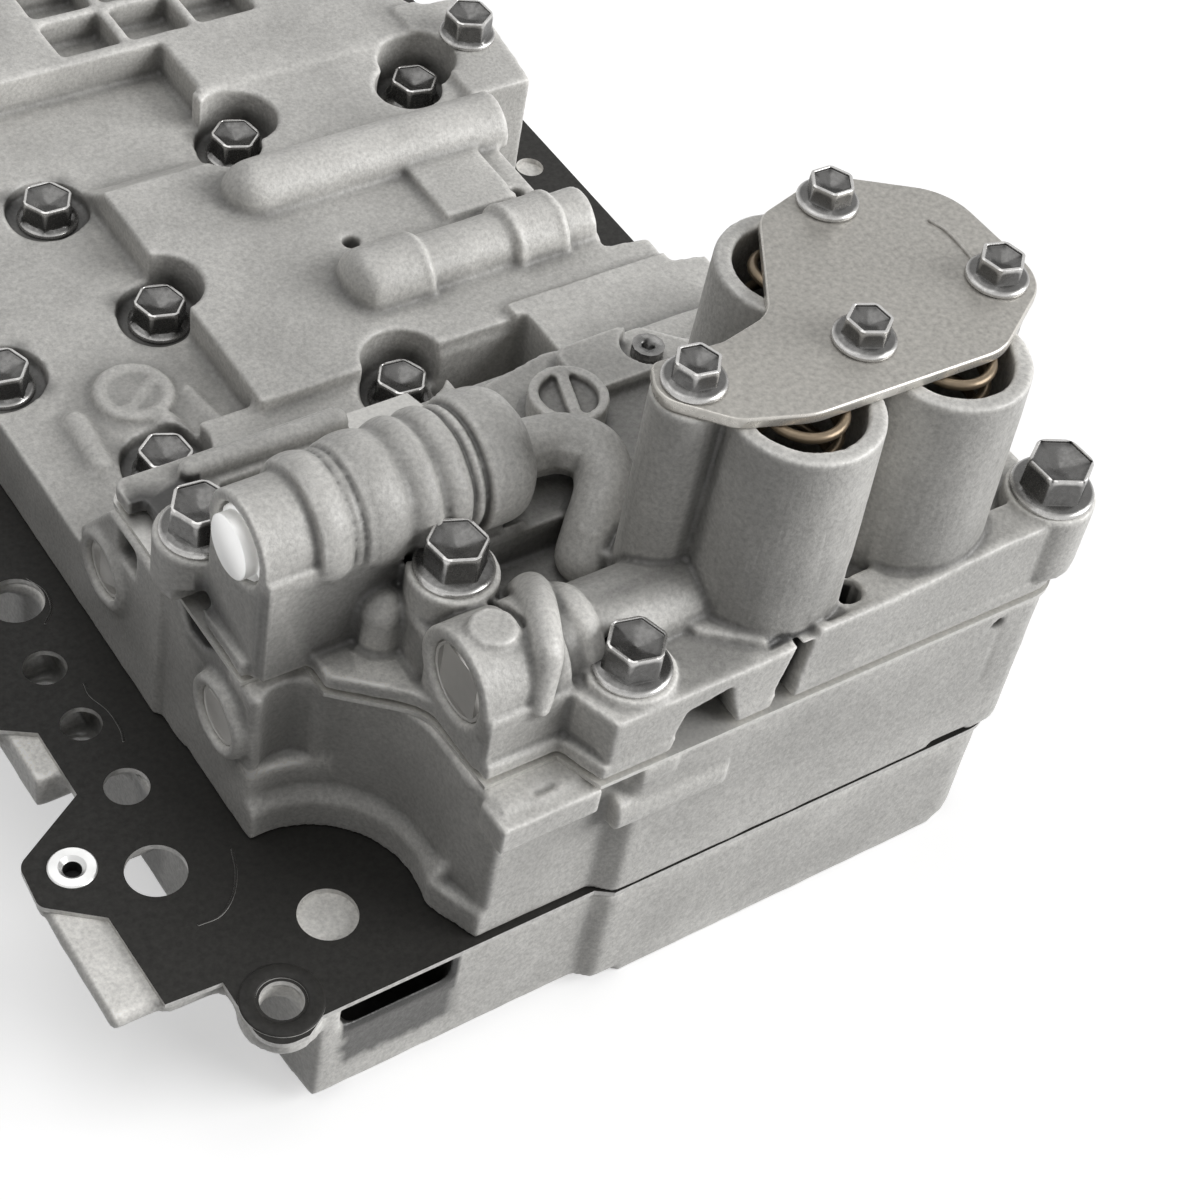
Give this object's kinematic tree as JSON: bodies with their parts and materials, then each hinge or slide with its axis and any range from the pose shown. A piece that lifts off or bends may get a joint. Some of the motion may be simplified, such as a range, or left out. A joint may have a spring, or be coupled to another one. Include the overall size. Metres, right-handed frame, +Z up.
{
  "type": "transmission valve body",
  "caption": "Stacked cast aluminium hydraulic valve body with separator plates, spool bores, spring accumulators under a lobed cover, and flange bolts.",
  "frame": {"origin": "bottom centre of the whole, on the lip under the lower casting", "axes": "+Z up through the stack, +Y to the rear along the longest side, +X to the right, away from the spool bores' mouths"},
  "size_m": [0.2478, 0.3276, 0.1664],
  "materials": {
    "cast_aluminium": "die cast, matt, fine sandy texture",
    "dark_plate": "dark coated steel sheet",
    "bright_plate": "ground steel sheet",
    "bright_bush": "turned steel",
    "zinc_cover": "zinc plated, finely speckled",
    "dark_bolt": "dark phosphated steel",
    "pin_steel": "ground steel",
    "spring_steel": "oil tempered wire",
    "turned_aluminium": "turned",
    "spool_steel": "ground and hard coated",
    "keeper_steel": "stamped sheet"
  },
  "bodies": {
    "valve_stack": {"lower_body": "cast_aluminium", "middle_body": "cast_aluminium", "upper_body": "cast_aluminium", "lower_separator_plate": "dark_plate", "upper_separator_plate": "bright_plate", "locating_bush": "bright_bush", "accumulator_cover": "zinc_cover", "cover_bolts": "dark_bolt", "upper_body_bolts": "dark_bolt", "middle_body_bolts": "dark_bolt", "pocket_bolt": "dark_bolt", "dowel_pins": "pin_steel", "accumulator_spring_1": "spring_steel", "accumulator_spring_2": "spring_steel", "accumulator_spring_3": "spring_steel", "spool_spring_a": "spring_steel", "spool_spring_b": "spring_steel", "spool_spring_c": "spring_steel", "spool_spring_d": "spring_steel", "bore_plug_a": "turned_aluminium", "bore_plug_b": "turned_aluminium", "bore_plug_c": "turned_aluminium", "bore_plug_d": "turned_aluminium", "plug_keeper_a": "keeper_steel", "plug_keeper_b": "keeper_steel", "plug_keeper_c": "keeper_steel", "plug_keeper_d": "keeper_steel"},
    "accumulator_piston_1": {"accumulator_piston_1": "turned_aluminium"},
    "accumulator_piston_2": {"accumulator_piston_2": "turned_aluminium"},
    "accumulator_piston_3": {"accumulator_piston_3": "turned_aluminium"},
    "spool_a": {"spool_a": "spool_steel"},
    "spool_b": {"spool_b": "spool_steel"},
    "spool_c": {"spool_c": "spool_steel"},
    "spool_d": {"spool_d": "spool_steel"}
  },
  "joints": [
    {"name": "accumulator_1_travel", "type": "slide", "parent": "valve_stack", "child": "accumulator_piston_1", "axis": [0, 0, 1], "range_m": [0, 0.009], "stiffness_N_per_m": 3000, "springref_m": -0.006, "deforming": ["accumulator_spring_1"]},
    {"name": "accumulator_2_travel", "type": "slide", "parent": "valve_stack", "child": "accumulator_piston_2", "axis": [0, 0, 1], "range_m": [0, 0.009], "stiffness_N_per_m": 3000, "springref_m": -0.006, "deforming": ["accumulator_spring_2"]},
    {"name": "accumulator_3_travel", "type": "slide", "parent": "valve_stack", "child": "accumulator_piston_3", "axis": [0, 0, 1], "range_m": [0, 0.009], "stiffness_N_per_m": 3000, "springref_m": -0.006, "deforming": ["accumulator_spring_3"]},
    {"name": "spool_a_travel", "type": "slide", "parent": "valve_stack", "child": "spool_a", "axis": [-1, 0, 0], "range_m": [0, 0.006], "stiffness_N_per_m": 1500, "springref_m": -0.004, "deforming": ["spool_spring_a"]},
    {"name": "spool_b_travel", "type": "slide", "parent": "valve_stack", "child": "spool_b", "axis": [-1, 0, 0], "range_m": [0, 0.006], "stiffness_N_per_m": 1500, "springref_m": -0.004, "deforming": ["spool_spring_b"]},
    {"name": "spool_c_travel", "type": "slide", "parent": "valve_stack", "child": "spool_c", "axis": [-1, 0, 0], "range_m": [0, 0.006], "stiffness_N_per_m": 1500, "springref_m": -0.004, "deforming": ["spool_spring_c"]},
    {"name": "spool_d_travel", "type": "slide", "parent": "valve_stack", "child": "spool_d", "axis": [-1, 0, 0], "range_m": [0, 0.006], "stiffness_N_per_m": 1500, "springref_m": -0.004, "deforming": ["spool_spring_d"]}
  ]
}
